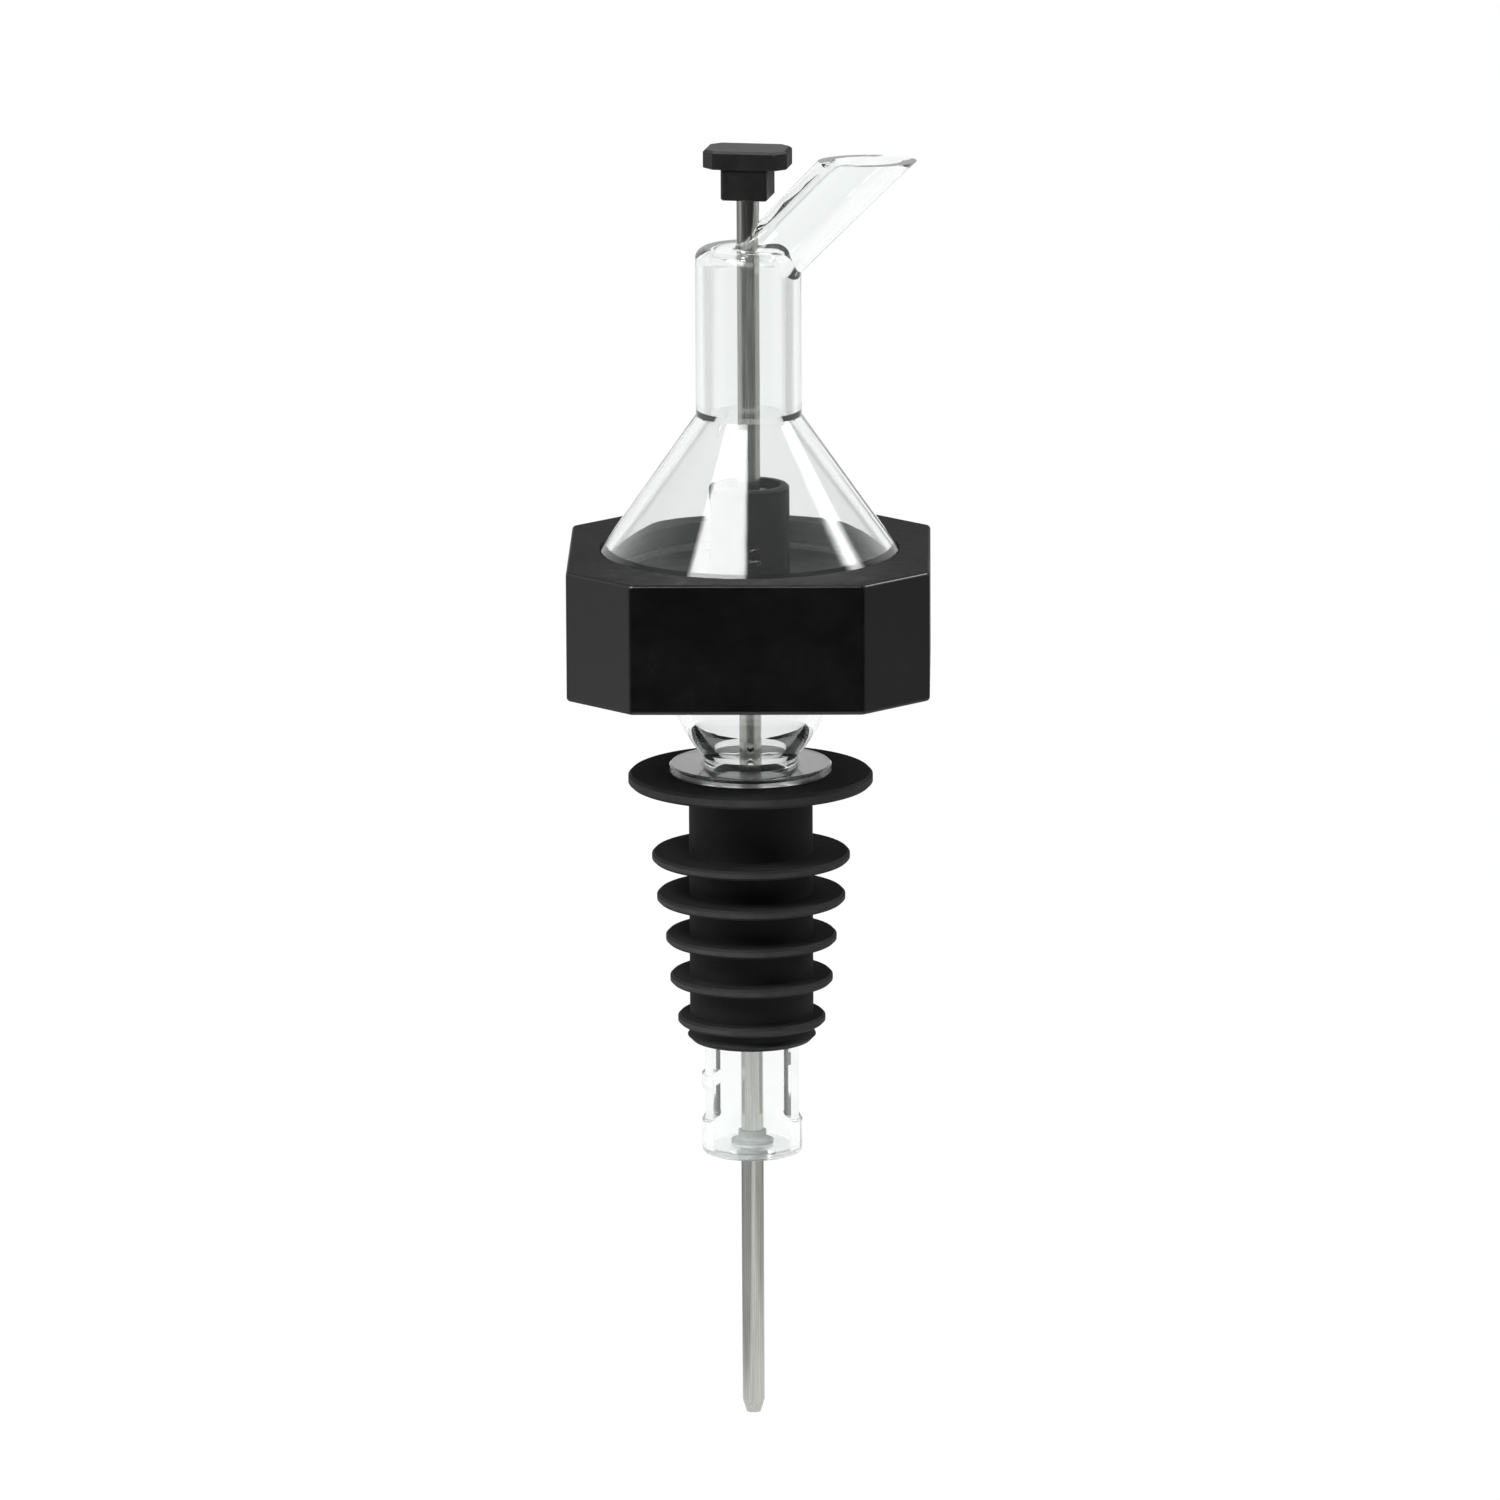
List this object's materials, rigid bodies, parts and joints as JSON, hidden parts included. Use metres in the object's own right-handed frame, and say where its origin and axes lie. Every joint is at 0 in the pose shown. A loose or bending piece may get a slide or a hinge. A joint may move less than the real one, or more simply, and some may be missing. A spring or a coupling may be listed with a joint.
{
  "type": "liquor optic dispenser",
  "caption": "Bottle-mounted spirit measure: ribbed rubber stopper, clear bowl, octagonal black collar, clear funnel with angled spout, steel plunger rod with press knob",
  "frame": {"origin": "centre of the stopper flange's underside, where the bottle's lip ends", "axes": "+Z along the plunger rod, out of the bottle towards the press knob; +X the way the spout leans"},
  "size_m": [0.0454, 0.0454, 0.162],
  "materials": {
    "black_rubber": "matte",
    "clear_plastic": "clear and glossy",
    "grey_rubber": "matte",
    "black_plastic": "satin, lightly grained",
    "seal_rubber": "matte",
    "stainless_steel": "turned",
    "spring_steel": "bright drawn",
    "rod_steel": "drawn, satin",
    "knob_plastic": "satin"
  },
  "bodies": {
    "dispenser": {"bottle_stopper": "black_rubber", "chamber_body": "clear_plastic", "tube_end_cap": "clear_plastic", "rod_bush": "grey_rubber", "collar": "black_plastic", "valve_cage": "black_plastic", "chamber_gasket": "seal_rubber", "funnel_gasket": "seal_rubber", "measuring_funnel": "clear_plastic", "funnel_neck": "clear_plastic", "pouring_spout": "clear_plastic", "spring_base_washer": "stainless_steel", "return_spring": "spring_steel"},
    "spring_seat": {"spring_cap_washer": "stainless_steel"},
    "plunger": {"plunger_rod": "rod_steel", "push_knob": "knob_plastic", "spring_clip": "spring_steel", "outlet_seal": "seal_rubber", "outlet_backing": "stainless_steel", "outlet_clip_upper": "spring_steel", "outlet_clip_lower": "spring_steel", "inlet_seal": "seal_rubber", "inlet_backing": "stainless_steel", "inlet_clip_upper": "spring_steel", "inlet_clip_lower": "spring_steel"}
  },
  "joints": [
    {"name": "plunger_slide", "type": "slide", "parent": "dispenser", "child": "spring_seat", "axis": [0, 0, -1], "range_m": [0, 0.001], "stiffness_N_per_m": 900, "springref_m": -0.004, "deforming": ["return_spring"]},
    {"name": "plunger_turn", "type": "hinge", "parent": "spring_seat", "child": "plunger", "pos_m": [0, 0, 0.0363], "axis": [0, 0, 1], "continuous": true}
  ]
}
